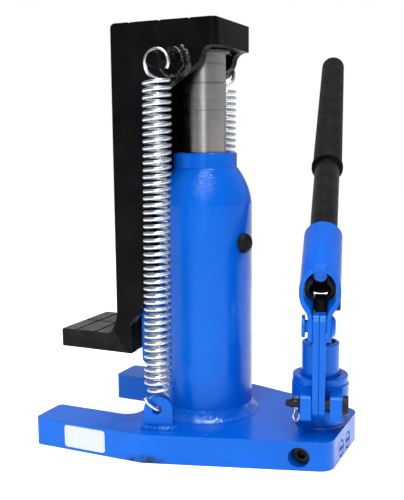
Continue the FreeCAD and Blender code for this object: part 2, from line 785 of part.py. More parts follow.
drum = turned("collar_drum", [
    (D.pump_r + 0.06, D.collar_z),
    (D.collar_r - 1, D.collar_z),
    (D.collar_r, D.collar_z + 1),
    (D.collar_r, D.collar_top - 0.6),
    (D.collar_r - 0.6, D.collar_top),
    (D.pump_r + 0.06, D.collar_top),
])
ears = []
for name, inner_face, outer_face in (("left", -5.4, -14.3), ("right", 9.0, 18.6)):
    ear = new_body("collar_ear_" + name)
    front = -D.link_u - 9.6
    add_to(ear, "ear_pad_" + name, "YZ_Plane", [
        (-12, D.collar_z - 2.4),
        (-12, D.collar_top - 1.4),
        (front + 4, D.collar_top - 1.4),
        (front + 1.2, D.collar_top - 2.6, front, D.collar_top - 5.4),
        (front, D.collar_z + 1.4),
        (front + 1.1, D.collar_z - 1.3, front + 3.8, D.collar_z - 2.4),
    ], abs(outer_face - inner_face), offset=(inner_face + outer_face) / 2)
    ears.append(ear)
collar_blank = join("collar_blank", [drum] + ears)
link_gap = 11.2
collar_tools = [
    block("link_slot", (link_gap, 40, 60), (-link_gap / 2, -59.9, D.collar_z - 20)),
    rod("flange_room", D.pump_r + 3.4, 6, (0, 0, D.collar_z - 6)),
    rod("collar_bore", D.pump_r + 0.06, 40, (0, 0, D.collar_z - 10)),
    rod("ear_hole", D.joint_r + 0.05, 60, (-30, -D.link_u, D.link_low_z), (1, 0, 0)),
]
node(swing(carve("swivel_collar", collar_blank, collar_tools)))

split_x = -17.9
low_pin = turned("low_pin_blank", [
    (0, -26.5),
    (1.9, -26.5),
    (2.5, -25.8),
    (3.6, -20.6),
    (3.6, -15.4),
    (D.joint_r, -14.4),
    (D.joint_r, 18.8),
    (7.8, 18.8),
    (7.8, 22.6),
    (7.1, 23.4),
    (0, 23.4),
])
put(low_pin, (0, -D.link_u, D.link_low_z), aim((1, 0, 0)))
pin_hole = rod("low_pin_hole", 1.9, 20, (split_x, -D.link_u, D.link_low_z - 10))
node(swing(carve("link_pin_lower", low_pin, [pin_hole])))

# split pin: legs bent over above the pin, eye hanging below it
u0 = -number(D.link_u)
z0 = number(D.link_low_z)
split_path = [
    V3(split_x - 4.6, u0 - 3.0, z0 + 6.2), V3(split_x - 2.4, u0 - 1.5, z0 + 5.9), V3(split_x - 0.9, u0, z0 + 4.2),
    V3(split_x - 0.85, u0, z0), V3(split_x - 0.9, u0, z0 - 5.2),
]
for angle in (150, 120, 90, 60, 30, 0, -30, -60, -90, -120, -150):
    turn = math.radians(angle)
    split_path.append(V3(split_x - 2.3 * math.sin(turn), u0 - 2.4 * math.sin(turn), z0 - 10.6 + 4.2 * math.cos(turn + math.pi)))
split_path += [
    V3(split_x + 0.9, u0, z0 - 5.2), V3(split_x + 0.85, u0, z0), V3(split_x + 0.9, u0, z0 + 4.2),
    V3(split_x + 1.3, u0 - 2.2, z0 + 6.2), V3(split_x + 1.2, u0 - 5.2, z0 + 6.0),
]
node(swing(free_shape("split_pin", swept(split_path, 0.8))))

# open ring that snaps into the pump's groove and keeps the collar down; the links pass its gap
ring = turned("ring_blank", [
    (D.pump_r - 1.3, D.collar_top + 1),
    (D.pump_r + 0.1, D.collar_top + 1),
    (D.pump_r + 0.8, D.collar_top + 0.3),
    (D.ring_r, D.collar_top + 0.3),
    (D.ring_r, D.ring_top - 0.6),
    (D.ring_r - 0.6, D.ring_top),
    (D.pump_r + 2.4, D.ring_top),
    (D.pump_r + 0.1, D.ring_top - 2.3),
    (D.pump_r + 0.1, D.collar_top + 3.2),
    (D.pump_r - 1.3, D.collar_top + 3.2),
])
ring_gap = block("ring_gap", (link_gap, 40, 20), (-link_gap / 2, -40, D.collar_top - 5))
node(swing(carve("retaining_ring", ring, [ring_gap])))

# ---------------------------------------------------------------- plunger

plunger = turned("plunger_blank", [
    (0, 42),
    (D.plunger_r - 1, 42),
    (D.plunger_r, 43),
    (D.plunger_r, D.plunger_pin_z + 9),
    (0, D.plunger_pin_z + 9),
])
cheek_gap = 5.6
flats = []
for start, name in ((-25.2, "left"), (5.2, "right")):
    flats.append(block("plunger_flat_" + name, (20, 40, 60), (start, -20, D.plunger_pin_z - 16)))
crown = carve("plunger_crown", block("crown_box", (40, 40, 20), (-20, -20, D.plunger_pin_z)),
              [rod("crown_rod", 8.6, 40, (-20, 0, D.plunger_pin_z), (1, 0, 0))])
plunger_hole = rod("plunger_hole", D.joint_r + 0.05, 60, (-30, 0, D.plunger_pin_z), (1, 0, 0))
node(swing(carve("plunger", plunger, flats + [crown, plunger_hole])))

# ---------------------------------------------------------------- link plates

for side, name in ((-1, "left"), (1, "right")):
    plate = new_body("link_blank_" + name)
    low_v = -D.link_u + 1
    low_end = D.link_low_z - 1.8
    high_end = D.link_high_z + 1.8
    add_to(plate, "link_pad_" + name, "YZ_Plane", [
        (low_v - D.link_half_w, low_end),
        (low_v, low_end - D.link_half_w, low_v + D.link_half_w, low_end),
        (-D.link_u + D.link_half_w, high_end),
        (-D.link_u, high_end + D.link_half_w, -D.link_u - D.link_half_w, high_end),
    ], D.link_t, offset=(D.link_t * 0.5 + 0.2) * side)
    holes = [
        rod("link_hole_high_" + name, D.joint_r + 0.05, 30, (-15, -D.link_u, D.link_high_z), (1, 0, 0)),
        rod("link_hole_low_" + name, D.joint_r + 1.3, 30, (-15, low_v, D.link_low_z), (1, 0, 0)),
    ]
    node(swing(carve("link_plate_" + name, plate, holes)))

# ---------------------------------------------------------------- handle socket

lean_deg = number(D.lift_deg)
lean_cos = math.cos(math.radians(lean_deg))
lean_sin = math.sin(math.radians(lean_deg))
mouth = V3(0, -number(D.mouth_u), number(D.mouth_z))


def along(distance, height=0.0):
    """Point at a distance from the mouth along the socket and a height above its axis."""
    return V3(0, mouth.y + distance * lean_cos - height * lean_sin, mouth.z + distance * lean_sin + height * lean_cos)


def in_socket(place):
    """Distance along the socket and height above its axis of a point on the pump's own middle plane."""
    offset = place - mouth
    return offset.y * lean_cos + offset.z * lean_sin, -offset.y * lean_sin + offset.z * lean_cos


# the folded sheet, drawn square to its axis: round top, waist and two flat cheeks
mid = number(D.socket_mid_r)
half = number(D.socket_t) / 2
cheek_mid = cheek_gap + half
waist = 10.0
waist_x = cheek_mid + waist
waist_z = -((mid + waist) ** 2 - waist_x ** 2) ** 0.5
foot = -45.0


def fold(offset):
    """Key points of one side of the sheet, at an offset from the mid line."""
    radius = mid + offset
    scale = radius / (mid + waist)
    touch = (waist_x * scale, waist_z * scale)
    bend = waist - offset
    half_way = (math.atan2(-waist_z, -waist_x) + math.pi) / 2
    bend_mid = (waist_x + bend * math.cos(half_way), waist_z + bend * math.sin(half_way))
    return radius, touch, bend_mid, (cheek_mid + offset, waist_z), (cheek_mid + offset, foot)


outer = fold(half)
inner = fold(-half)
socket_sheet = new_body("socket_sheet")
add_to(socket_sheet, "socket_fold", "XZ_Plane", [
    (inner[4][0], inner[4][1]),
    (outer[4][0], outer[4][1]),
    (outer[3][0], outer[3][1]),
    (outer[2][0], outer[2][1], outer[1][0], outer[1][1]),
    (0, outer[0], -outer[1][0], outer[1][1]),
    (-outer[2][0], outer[2][1], -outer[3][0], outer[3][1]),
    (-outer[4][0], outer[4][1]),
    (-inner[4][0], inner[4][1]),
    (-inner[3][0], inner[3][1]),
    (-inner[2][0], inner[2][1], -inner[1][0], inner[1][1]),
    (0, inner[0], inner[1][0], inner[1][1]),
    (inner[2][0], inner[2][1], inner[3][0], inner[3][1]),
], 260)
lean_turn = FreeCAD.Rotation(V3(1, 0, 0), lean_deg)
put(socket_sheet, (0, -D.mouth_u, D.mouth_z), lean_turn)
bind(socket_sheet, "Placement.Rotation.Angle", D.lift_deg, " * 1 deg")
round_part = rod("socket_round", D.socket_mid_r + D.socket_t * 0.5, 200, (0, along(-60).y, along(-60).z),
                 (0, lean_cos, lean_sin))
round_hole = rod("socket_hollow", D.socket_mid_r - D.socket_t * 0.5, 240, (0, along(-70).y, along(-70).z),
                 (0, lean_cos, lean_sin))
socket_tube = carve("socket_tube", round_part, [round_hole])

link_at = in_socket(V3(0, -number(D.link_u), number(D.link_high_z)))
rod_at = in_socket(V3(0, 0, number(D.plunger_pin_z)))
# side view of the two cheeks and the barrel, in distance along the socket and height above its axis
front_slope = 0.745
back = rod_at[0] + 9.4
side_view = new_body("socket_side")
add_to(side_view, "socket_side_pad", "YZ_Plane", [
    (front_slope * 20, 20),
    (front_slope * (link_at[1] - 4), link_at[1] - 4),
    (link_at[0] - 4.4, link_at[1] - 10.0, link_at[0] + 2.4, link_at[1] - 10.2),
    (rod_at[0] - 2.4, rod_at[1] - 9.0),
    (rod_at[0] + 6.4, rod_at[1] - 6.4, rod_at[0] + 9.2, rod_at[1] + 1),
    (back + 6, -15.2),
    (D.socket_len, -15.2),
    (D.socket_len, 20),
], 60)
put(side_view, (0, -D.mouth_u, D.mouth_z), lean_turn)
bind(side_view, "Placement.Rotation.Angle", D.lift_deg, " * 1 deg")
rear_view = new_body("socket_rear")
add_to(rear_view, "socket_rear_pad", "YZ_Plane", [
    (back + 4, 20),
    (back + 4, -20),
    (D.socket_len, -20),
    (D.socket_len, 20),
], 60)
put(rear_view, (0, -D.mouth_u, D.mouth_z), lean_turn)
bind(rear_view, "Placement.Rotation.Angle", D.lift_deg, " * 1 deg")
tab = new_body("socket_tab")
add_to(tab, "tab_pad", "XZ_Plane", [
    (-5.2, 17.6),
    (-5.2, 8.4),
    (0, 3.2, 5.2, 8.4),
    (5.2, 17.6),
    (4.4, 18.4),
    (-4.4, 18.4),
], 3.4, offset=-11.6)
put(tab, (0, -D.mouth_u, D.mouth_z), lean_turn)
bind(tab, "Placement.Rotation.Angle", D.lift_deg, " * 1 deg")
folded = overlap("socket_folded", [socket_sheet, side_view])
barrel = overlap("socket_barrel", [socket_tube, rear_view])
socket_blank = join("socket_blank", [folded, barrel, tab])
socket_tools = [
    rod("socket_link_hole", D.joint_r, 60, (-30, -D.link_u, D.link_high_z), (1, 0, 0)),
    rod("socket_rod_hole", D.joint_r, 60, (-30, 0, D.plunger_pin_z), (1, 0, 0)),
]
node(swing(carve("handle_socket", socket_blank, socket_tools)))

cheek_face = 9.1
high_pin = turned("high_pin_blank", [
    (0, -14),
    (9, -14),
    (9, -11.4),
    (D.joint_r, -11.4),
    (D.joint_r, cheek_face + 0.1),
    (9, cheek_face + 0.1),
    (8.1, cheek_face + 1.8, 1.5, cheek_face + 2.8),
    (0, cheek_face + 2.8),
])
put(high_pin, (0, -D.link_u, D.link_high_z), aim((1, 0, 0)))
node(swing(group("link_pin_upper", [high_pin])))
rod_pin = turned("rod_pin_blank", [
    (0, -cheek_face - 2.6),
    (7, -cheek_face - 2.6),
    (7, -cheek_face - 0.1),
    (D.joint_r, -cheek_face - 0.1),
    (D.joint_r, 15.2),
    (D.joint_r - 0.8, 16),
    (0, 16),
])
put(rod_pin, (0, 0, D.plunger_pin_z), aim((1, 0, 0)))
node(swing(group("plunger_pin", [rod_pin])))
node(swing(tube("plunger_pin_clip", 7.2, D.joint_r, 1.1, (cheek_face + 0.1, 0, D.plunger_pin_z), (1, 0, 0))))

# ---------------------------------------------------------------- handle

bar = turned("bar_blank", [
    (D.bar_r - D.bar_wall, D.bar_start),
    (D.bar_r - 0.8, D.bar_start),
    (D.bar_r, D.bar_start + 0.8),
    (D.bar_r, D.bar_end),
    (D.bar_r - D.bar_wall, D.bar_end),
])
put(bar, (0, -D.mouth_u, D.mouth_z), aim((0, lean_cos, lean_sin)))
notch = new_body("bar_notch")
add_to(notch, "notch_pad", "YZ_Plane", [
    (0, -20),
    (15, -20),
    (15, 20),
    (0, 20),
], 11)
put(notch, (0, -D.mouth_u, D.mouth_z), lean_turn)
bind(notch, "Placement.Rotation.Angle", D.lift_deg, " * 1 deg")
node(swing(carve("handle_bar", bar, [notch])))
grip = turned("grip_blank", [
    (D.bar_r, D.grip_start),
    (15.3, D.grip_start),
    (15.3, D.grip_start + 4),
    (14.2, D.grip_start + 7),
    (13.3, D.grip_end - 3),
    (12.4, D.grip_end - 0.9, 10.2, D.grip_end),
    (0, D.grip_end),
    (0, D.grip_end - 4),
    (D.bar_r, D.grip_end - 4),
])
put(grip, (0, -D.mouth_u, D.mouth_z), aim((0, lean_cos, lean_sin)))
node(swing(group("handle_grip", [grip])))

# ---------------------------------------------------------------- checks and export

doc.recompute()
problems = []
for item in doc.Objects:
    if "Invalid" in item.State or "Error" in item.State:
        problems.append(f"{item.Label}: {item.State}")
for item in NODES:
    shape = item.Shape
    if shape.isNull() or not shape.isValid() or not shape.Solids:
        problems.append(f"{item.Label}: bad shape")
labels = [item.Label for item in NODES]
if len(set(labels)) != len(labels):
    problems.append("labels repeat")
for problem in problems:
    print("PROBLEM", problem)
if problems:
    raise SystemExit("the model has problems")

os.makedirs("parts", exist_ok=True)
for old in os.listdir("parts"):
    if old.endswith(".step") and old[:-5] not in labels:
        os.remove(os.path.join("parts", old))
for item in NODES:
    item.Shape.exportStep(f"parts/{item.Label}.step")
    box = item.Shape.BoundBox
    print(f"{item.Label:18s} x {box.XMin:7.1f} {box.XMax:7.1f}  y {box.YMin:7.1f} {box.YMax:7.1f}"
          f"  z {box.ZMin:7.1f} {box.ZMax:7.1f}  solids {len(item.Shape.Solids)}  vol {item.Shape.Volume:.0f}")
print(len(NODES), "parts")
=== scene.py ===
import bpy
import bmesh
import json
import math
from mathutils import Matrix, Vector, noise


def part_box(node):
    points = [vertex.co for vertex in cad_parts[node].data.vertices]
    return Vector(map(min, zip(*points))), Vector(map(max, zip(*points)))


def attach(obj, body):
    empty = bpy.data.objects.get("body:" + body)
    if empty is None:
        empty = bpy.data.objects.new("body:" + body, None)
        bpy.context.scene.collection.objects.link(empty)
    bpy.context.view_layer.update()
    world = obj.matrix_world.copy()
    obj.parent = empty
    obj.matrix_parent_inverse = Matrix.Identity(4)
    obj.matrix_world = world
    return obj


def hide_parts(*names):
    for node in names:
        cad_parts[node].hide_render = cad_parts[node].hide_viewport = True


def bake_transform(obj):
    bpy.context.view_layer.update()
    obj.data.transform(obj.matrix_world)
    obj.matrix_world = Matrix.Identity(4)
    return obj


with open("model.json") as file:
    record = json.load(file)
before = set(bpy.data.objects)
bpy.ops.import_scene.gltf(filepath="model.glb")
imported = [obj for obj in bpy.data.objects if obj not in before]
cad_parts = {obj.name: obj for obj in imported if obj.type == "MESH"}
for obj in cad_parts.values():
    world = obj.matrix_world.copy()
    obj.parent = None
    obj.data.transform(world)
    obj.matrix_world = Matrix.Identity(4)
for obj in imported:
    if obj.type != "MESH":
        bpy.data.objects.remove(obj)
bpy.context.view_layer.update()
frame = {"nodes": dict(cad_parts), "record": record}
NODES = frame["nodes"]


# ---------------------------------------------------------------- material helpers

# a mix node has sockets for each kind of value, and these are the ones for colours
COLOR_A, COLOR_B, COLOR_RESULT = 6, 7, 2


class Shade:
    """A procedural material, in object coordinates, which are metres here."""

    def __init__(self, name, color, roughness=0.5, metallic=0.0, **extra):
        self.material = bpy.data.materials.new(name)
        self.material.use_nodes = True
        self.tree = self.material.node_tree
        self.nodes = self.tree.nodes
        self.links = self.tree.links
        self.shader = self.nodes["Principled BSDF"]
        self.shader.inputs["Base Color"].default_value = (*color, 1)
        self.shader.inputs["Roughness"].default_value = roughness
        self.shader.inputs["Metallic"].default_value = metallic
        for key, value in extra.items():
            self.shader.inputs[key.replace("_", " ")].default_value = value
        self.place = self.nodes.new("ShaderNodeTexCoord").outputs["Object"]
        self.normal = None

    def soften(self, radius):
        """Edges that catch the light as if rounded."""
        bevel = self.nodes.new("ShaderNodeBevel")
        bevel.samples = 4
        bevel.inputs["Radius"].default_value = radius
        self.normal = bevel.outputs["Normal"]
        self.links.new(self.normal, self.shader.inputs["Normal"])

    def near(self, spot, radius, soft):
        """1 within the radius of a spot, falling to 0 over the soft distance."""
        node = self.nodes.new("ShaderNodeVectorMath")
        node.operation = "DISTANCE"
        self.links.new(self.place, node.inputs[0])
        node.inputs[1].default_value = spot
        return self.spread(node.outputs["Value"], radius + soft, radius)

    def stretched(self, scale, turn=(0, 0, 0)):
        """Places scaled along each axis, for a grain that runs one way."""
        mapping = self.nodes.new("ShaderNodeMapping")
        mapping.inputs["Scale"].default_value = scale
        mapping.inputs["Rotation"].default_value = turn
        self.links.new(self.place, mapping.inputs["Vector"])
        return mapping.outputs["Vector"]

    def noise(self, scale, detail=4.0, roughness=0.5, vector=None, distortion=0.0):
        node = self.nodes.new("ShaderNodeTexNoise")
        node.inputs["Scale"].default_value = scale
        node.inputs["Detail"].default_value = detail
        node.inputs["Roughness"].default_value = roughness
        node.inputs["Distortion"].default_value = distortion
        self.links.new(vector or self.place, node.inputs["Vector"])
        return node.outputs["Fac"]

    def cells(self, scale):
        """Distance to the nearest of many scattered points."""
        node = self.nodes.new("ShaderNodeTexVoronoi")
        node.inputs["Scale"].default_value = scale
        self.links.new(self.place, node.inputs["Vector"])
        return node.outputs["Distance"]

    def spread(self, value, low, high, to_low=0.0, to_high=1.0):
        """Maps low to to_low and high to to_high, and holds the value between them."""
        node = self.nodes.new("ShaderNodeMapRange")
        node.inputs["From Min"].default_value = low
        node.inputs["From Max"].default_value = high
        node.inputs["To Min"].default_value = to_low
        node.inputs["To Max"].default_value = to_high
        self.links.new(value, node.inputs["Value"])
        return node.outputs["Result"]

    def math(self, operation, first, second=None):
        node = self.nodes.new("ShaderNodeMath")
        node.operation = operation
        for index, value in enumerate((first, second)):
            if value is None:
                continue
            if isinstance(value, (int, float)):
                node.inputs[index].default_value = value
            else:
                self.links.new(value, node.inputs[index])
        return node.outputs["Value"]

    def times(self, first, second):
        return self.math("MULTIPLY", first, second)

    def edges(self, radius=0.0012, low=0.02, high=0.25):
        """Near 1 close to edges, from how far a rounded normal turns away from the true one."""
        bevel = self.nodes.new("ShaderNodeBevel")
        bevel.samples = 6
        bevel.inputs["Radius"].default_value = radius
        true = self.nodes.new("ShaderNodeNewGeometry")
        dot = self.nodes.new("ShaderNodeVectorMath")
        dot.operation = "DOT_PRODUCT"
        self.links.new(bevel.outputs["Normal"], dot.inputs[0])
        self.links.new(true.outputs["Normal"], dot.inputs[1])
        return self.spread(self.math("SUBTRACT", 1.0, dot.outputs["Value"]), low, high)

    def axis(self, which):
        node = self.nodes.new("ShaderNodeSeparateXYZ")
        self.links.new(self.place, node.inputs["Vector"])
        return node.outputs[which]

    def facing(self, which):
        node = self.nodes.new("ShaderNodeNewGeometry")
        split = self.nodes.new("ShaderNodeSeparateXYZ")
        self.links.new(node.outputs["Normal"], split.inputs["Vector"])
        return split.outputs[which]

    def mix(self, amount, first, second):
        node = self.nodes.new("ShaderNodeMix")
        node.data_type = "RGBA"
        if isinstance(amount, (int, float)):
            node.inputs["Factor"].default_value = amount
        else:
            self.links.new(amount, node.inputs["Factor"])
        for socket, value in ((COLOR_A, first), (COLOR_B, second)):
            if isinstance(value, tuple):
                node.inputs[socket].default_value = (*value, 1)
            else:
                self.links.new(value, node.inputs[socket])
        return node.outputs[COLOR_RESULT]

    def color(self, value):
        self.links.new(value, self.shader.inputs["Base Color"])

    def rough(self, value):
        self.links.new(value, self.shader.inputs["Roughness"])

    def metal(self, value):
        self.links.new(value, self.shader.inputs["Metallic"])

    def coat(self, amount, roughness):
        """A clear film whose highlights stay white; it follows the relief added so far."""
        self.shader.inputs["Coat Roughness"].default_value = roughness
        self.links.new(amount, self.shader.inputs["Coat Weight"])
        self.links.new(self.normal, self.shader.inputs["Coat Normal"])

    def bump(self, height, distance):
        """Adds relief; distance is its real height in metres."""
        node = self.nodes.new("ShaderNodeBump")
        node.inputs["Distance"].default_value = distance
        self.links.new(height, node.inputs["Height"])
        if self.normal is not None:
            self.links.new(self.normal, node.inputs["Normal"])
        self.normal = node.outputs["Normal"]
        self.links.new(self.normal, self.shader.inputs["Normal"])


# ---------------------------------------------------------------- materials

BLUE = (0.0, 0.109, 0.6)
BLUE_DEEP = (0.0, 0.086, 0.5)
BLUE_TINT = (0.3, 0.62, 1, 1)
PRIMER = (0.006, 0.012, 0.03)
GRIT = (0.004, 0.01, 0.03)
SCORCH = (0.006, 0.008, 0.012)
SCUFFED = (0.24, 0.24, 0.25)
# colour of the darker lines round the ram
RAM_LINE_DARK = (0.06, 0.05, 0.04)
# metres of rounding that an edge seems to have
EDGE_ROUND = 0.0007


def blue_paint(name="blue_enamel", ripple=None, scorched=(), wet=False):
    """Glossy enamel.

    ripple is a wrinkled patch: its centre, radius and fade. scorched is a list of dark spots, each
    with its centre and radius. Wet paint lies thick and shiny, as on weld beads.
    """
    m = Shade(name, BLUE, 0.3, Specular_IOR_Level=0.5, Specular_Tint=BLUE_TINT)
    m.soften(EDGE_ROUND)
    tone = m.spread(m.noise(14, 3), 0.35, 0.7)
    color = m.mix(tone, BLUE, BLUE_DEEP)
    chips = m.times(m.edges(0.0014), m.spread(m.noise(330, 3, 0.6), 0.66, 0.7))
    color = m.mix(m.times(chips, 0.8), color, PRIMER)
    specks = m.spread(m.cells(150), 0.055, 0.035)
    rare = m.spread(m.noise(45, 2), 0.6, 0.66)
    color = m.mix(m.times(m.times(specks, rare), 0.7), color, GRIT)
    for centre, radius in scorched:
        smoke = m.spread(m.noise(200, 5, 0.6), 0.3, 0.55)
        patch = m.times(m.near(centre, radius * 0.3, radius), smoke)
        color = m.mix(patch, color, SCORCH)
    m.color(color)
    m.rough(m.spread(m.noise(60, 4), 0.3, 0.75, 0.16, 0.3))
    m.bump(m.noise(420, 2), 0.00009)
    m.bump(m.noise(60, 2), 0.00028)
    if ripple:
        zone = m.near(*ripple)
        waves = m.noise(560, 3, 0.55, m.stretched((0.45, 0.45, 1.5)), 0.5)
        m.bump(m.times(zone, waves), 0.0009)
        m.coat(m.times(zone, m.spread(waves, 0.47, 0.56)), 0.06)
    if wet:
        m.bump(m.noise(420, 3), 0.0004)
        m.coat(m.spread(m.noise(140, 3), 0.45, 0.6), 0.1)
    return m.material


def black_paint(name="black_enamel", worn=0.8, gloss=0.05, smooth=(0.26, 0.48)):
    """Satin enamel. worn is how bare its edges are, and smooth the range of its roughness."""
    m = Shade(name, (0.004, 0.004, 0.0045), 0.45, Specular_IOR_Level=gloss)
    m.soften(EDGE_ROUND)
    scuffs = m.noise(240, 8, 0.65, m.stretched((0.35, 1, 1.4), (0.3, 0.2, 0.5)))
    dust = m.spread(m.noise(30, 6, 0.6), 0.42, 0.75)
    base = m.mix(dust, (0.0025, 0.0025, 0.003), (0.006, 0.006, 0.0065))
    wear = m.times(m.edges(), m.spread(scuffs, 0.5, 0.62))
    rare = m.spread(m.noise(60, 2), 0.55, 0.62)
    spots = m.times(m.spread(m.cells(130), 0.05, 0.03), rare)
    marks = m.math("MAXIMUM", m.times(wear, worn), m.times(spots, 0.35))
    m.color(m.mix(marks, base, SCUFFED))
    m.rough(m.spread(m.noise(90, 5), 0.3, 0.75, *smooth))
    m.bump(m.noise(700, 3), 0.00012)
    m.bump(m.noise(110, 2), 0.0003)
    return m.material


def toe_paint():
    """Black enamel, rubbed grey where loads rest on it."""
    m = Shade("toe_enamel", (0.01, 0.01, 0.011), 0.45, Specular_IOR_Level=0.1)
    m.soften(EDGE_ROUND)
    rub = m.noise(160, 9, 0.7, m.stretched((1, 0.4, 1), (0, 0, 0.4)))
    top = m.spread(m.facing("Z"), 0.6, 0.95)
    worn = m.times(top, m.spread(rub, 0.34, 0.6, 0.25, 1.0))
    edge = m.times(m.edges(), m.spread(rub, 0.4, 0.6, 0.1, 0.8))
    dust = m.spread(m.noise(45, 6, 0.65), 0.4, 0.7)
    side = m.mix(dust, (0.003, 0.003, 0.0035), (0.012, 0.012, 0.013))
    m.color(m.mix(m.math("MAXIMUM", worn, edge), side, (0.1, 0.102, 0.107)))
    m.rough(m.spread(rub, 0.3, 0.7, 0.34, 0.58))
    m.bump(m.noise(600, 4), 0.0002)
    m.bump(rub, 0.0002)
    return m.material


def polished_steel():
    """Ground steel of the ram, with a few darker lines round it at given heights."""
    m = Shade("ground_steel", (0.36, 0.36, 0.36), 0.3, 1.0)
    streaks = m.noise(90, 3, 0.5, m.stretched((1, 1, 0.012)))
    rings = m.noise(700, 3, 0.6, m.stretched((0.03, 0.03, 1)))
    mixed = m.math("ADD", m.times(streaks, 0.8), m.times(rings, 0.2))
    color = m.mix(m.spread(mixed, 0.36, 0.64), (0.24, 0.234, 0.226), (0.43, 0.423, 0.41))
    height = m.axis("Z")
    ram_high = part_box("ram")[1]
    # metres down from the ram's top, half width and strength of each line
    for down, width, depth in ((0.0395, 0.0006, 0.55), (0.024, 0.0007, 0.35), (0.062, 0.0005, 0.25)):
        # a darker line round the ram at this height
        away = m.math("ABSOLUTE", m.math("SUBTRACT", height, ram_high.z - down))
        line = m.times(m.spread(away, width * 2.2, width * 0.4), depth)
        patchy = m.times(line, m.spread(m.noise(60, 3), 0.3, 0.6, 0.4, 1.0))
        color = m.mix(patchy, color, RAM_LINE_DARK)
    m.color(color)
    m.rough(m.spread(m.noise(40, 2), 0.3, 0.7, 0.24, 0.32))
    return m.material


def machined_steel(name="machined_steel", dark_above=None):
    """Turned steel. Above the height dark_above it turns near black, rougher and less metallic."""
    m = Shade(name, (0.3, 0.3, 0.31), 0.38, 1.0)
    rings = m.noise(1400, 3, 0.6, m.stretched((0.05, 0.05, 1)))
    color = m.mix(m.spread(rings, 0.3, 0.7), (0.2, 0.2, 0.21), (0.34, 0.34, 0.35))
    rough = m.spread(m.noise(200, 4), 0.3, 0.7, 0.3, 0.45)
    if dark_above is not None:
        # weight of the near black, dull top above dark_above
        scale = m.spread(m.axis("Z"), dark_above, dark_above + 0.004)
        color = m.mix(scale, color, (0.006, 0.006, 0.0065))
        m.metal(m.math("SUBTRACT", 1.0, scale))
        rough = m.math("ADD", rough, m.times(scale, 0.25))
    m.color(color)
    m.rough(rough)
    m.bump(rings, 0.00003)
    return m.material


def zinc_wire():
    m = Shade("zinc_wire", (0.72, 0.75, 0.78), 0.2, 1.0)
    m.color(m.mix(m.spread(m.noise(500, 4), 0.35, 0.7), (0.56, 0.6, 0.64), (0.76, 0.8, 0.83)))
    m.rough(m.spread(m.noise(900, 3), 0.3, 0.7, 0.24, 0.34))
    return m.material


def black_oxide():
    m = Shade("black_oxide", (0.012, 0.012, 0.014), 0.4, 0.3, Specular_IOR_Level=0.3)
    m.soften(EDGE_ROUND / 2)
    m.color(m.mix(m.spread(m.noise(260, 5), 0.4, 0.7), (0.005, 0.005, 0.006), (0.02, 0.02, 0.022)))
    m.rough(m.spread(m.noise(400, 4), 0.3, 0.7, 0.3, 0.5))
    m.bump(m.noise(1800, 3), 0.00004)
    return m.material


def bar_paint():
    m = Shade("bar_enamel", (0.004, 0.004, 0.005), 0.36, Specular_IOR_Level=0.1)
    m.soften(EDGE_ROUND)
    grain = m.stretched((1, 1, 0.12), (0.5, 0, 0.25))
    scratches = m.spread(m.noise(500, 6, 0.7, grain), 0.66, 0.72)
    base = m.mix(m.spread(m.noise(90, 5), 0.4, 0.7), (0.003, 0.003, 0.004), (0.008, 0.008, 0.009))
    m.color(m.mix(m.times(scratches, 0.25), base, (0.1, 0.1, 0.105)))
    m.rough(m.spread(m.noise(120, 5), 0.3, 0.7, 0.24, 0.42))
    m.bump(m.noise(600, 3), 0.00008)
    return m.material


def rubber(name, tone=0.0035, grain=900, relief=0.00012):
    m = Shade(name, (tone, tone, tone), 0.6, Specular_IOR_Level=0.09)
    m.soften(EDGE_ROUND)
    m.color(m.mix(m.spread(m.noise(70, 5), 0.35, 0.7), (tone * 0.7,) * 3, (tone * 1.7,) * 3))
    m.rough(m.spread(m.noise(150, 4), 0.3, 0.7, 0.42, 0.62))
    m.bump(m.noise(grain, 3), relief)
    return m.material


def sticker_film():
    m = Shade("sticker_film", (0.6, 0.64, 0.71), 0.3, Specular_IOR_Level=0.3)
    edge = m.spread(m.noise(260, 4), 0.4, 0.7)
    m.color(m.mix(edge, (0.56, 0.61, 0.7), (0.58, 0.63, 0.72)))
    m.rough(m.spread(m.noise(120, 4), 0.3, 0.7, 0.25, 0.4))
    m.bump(m.noise(500, 2), 0.00003)
    return m.material


LOOKS = {
    "blue_paint": blue_paint(),
    "black_paint": black_paint(),
    "toe_paint": toe_paint(),
    "polished_steel": polished_steel(),
    "machined_steel": machined_steel(),
    "zinc_wire": zinc_wire(),
    "black_oxide": black_oxide(),
    "bar_paint": bar_paint(),
    "grip_rubber": rubber("grip_rubber"),
    "plug_rubber": rubber("plug_rubber", 0.006, 1200, 0.00006),
    "seal_rubber": rubber("seal_rubber", 0.01),
    "blue_weld": blue_paint("blue_enamel_weld", wet=True),
    "black_weld": black_paint("black_enamel_weld", 0.3, 0.5, (0.14, 0.3)),
    "sticker": sticker_film(),
}
SLOT_OF = {part["node"]: part["material_slot"] for part in frame["record"]["subparts"]}
# weld beads have their own finish
base_low, base_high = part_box("base_plate")
reservoir_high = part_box("reservoir")[1]
plunger_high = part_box("plunger")[1]

# dark marks low on the base's near side, and the wrinkled front of the reservoir's shoulder, in metres
SCORCH_MARKS = [
    ((-0.0185, base_low.y, -0.001), 0.0075),
    ((-0.0125, base_low.y, -0.0005), 0.008),
    ((-0.0065, base_low.y, -0.001), 0.0075),
    ((-0.029, base_low.y, 0.001), 0.0045),
]
SHOULDER_RIPPLE = ((0.0145, -0.032, 0.2225), 0.006, 0.009)
# metres below the plunger's top where it turns near black
PLUNGER_DARK_TOP = 0.022
# the same finishes with the marks that one piece has
OWN_LOOKS = {
    "base_plate": blue_paint("blue_enamel_base", scorched=SCORCH_MARKS),
    "reservoir": blue_paint("blue_enamel_reservoir", SHOULDER_RIPPLE),
    "plunger": machined_steel("machined_steel_plunger", plunger_high.z - PLUNGER_DARK_TOP),
}
SHARP_ANGLE = math.radians(28)


def dress(obj, look):
    obj.data.materials.clear()
    obj.data.materials.append(LOOKS[look])


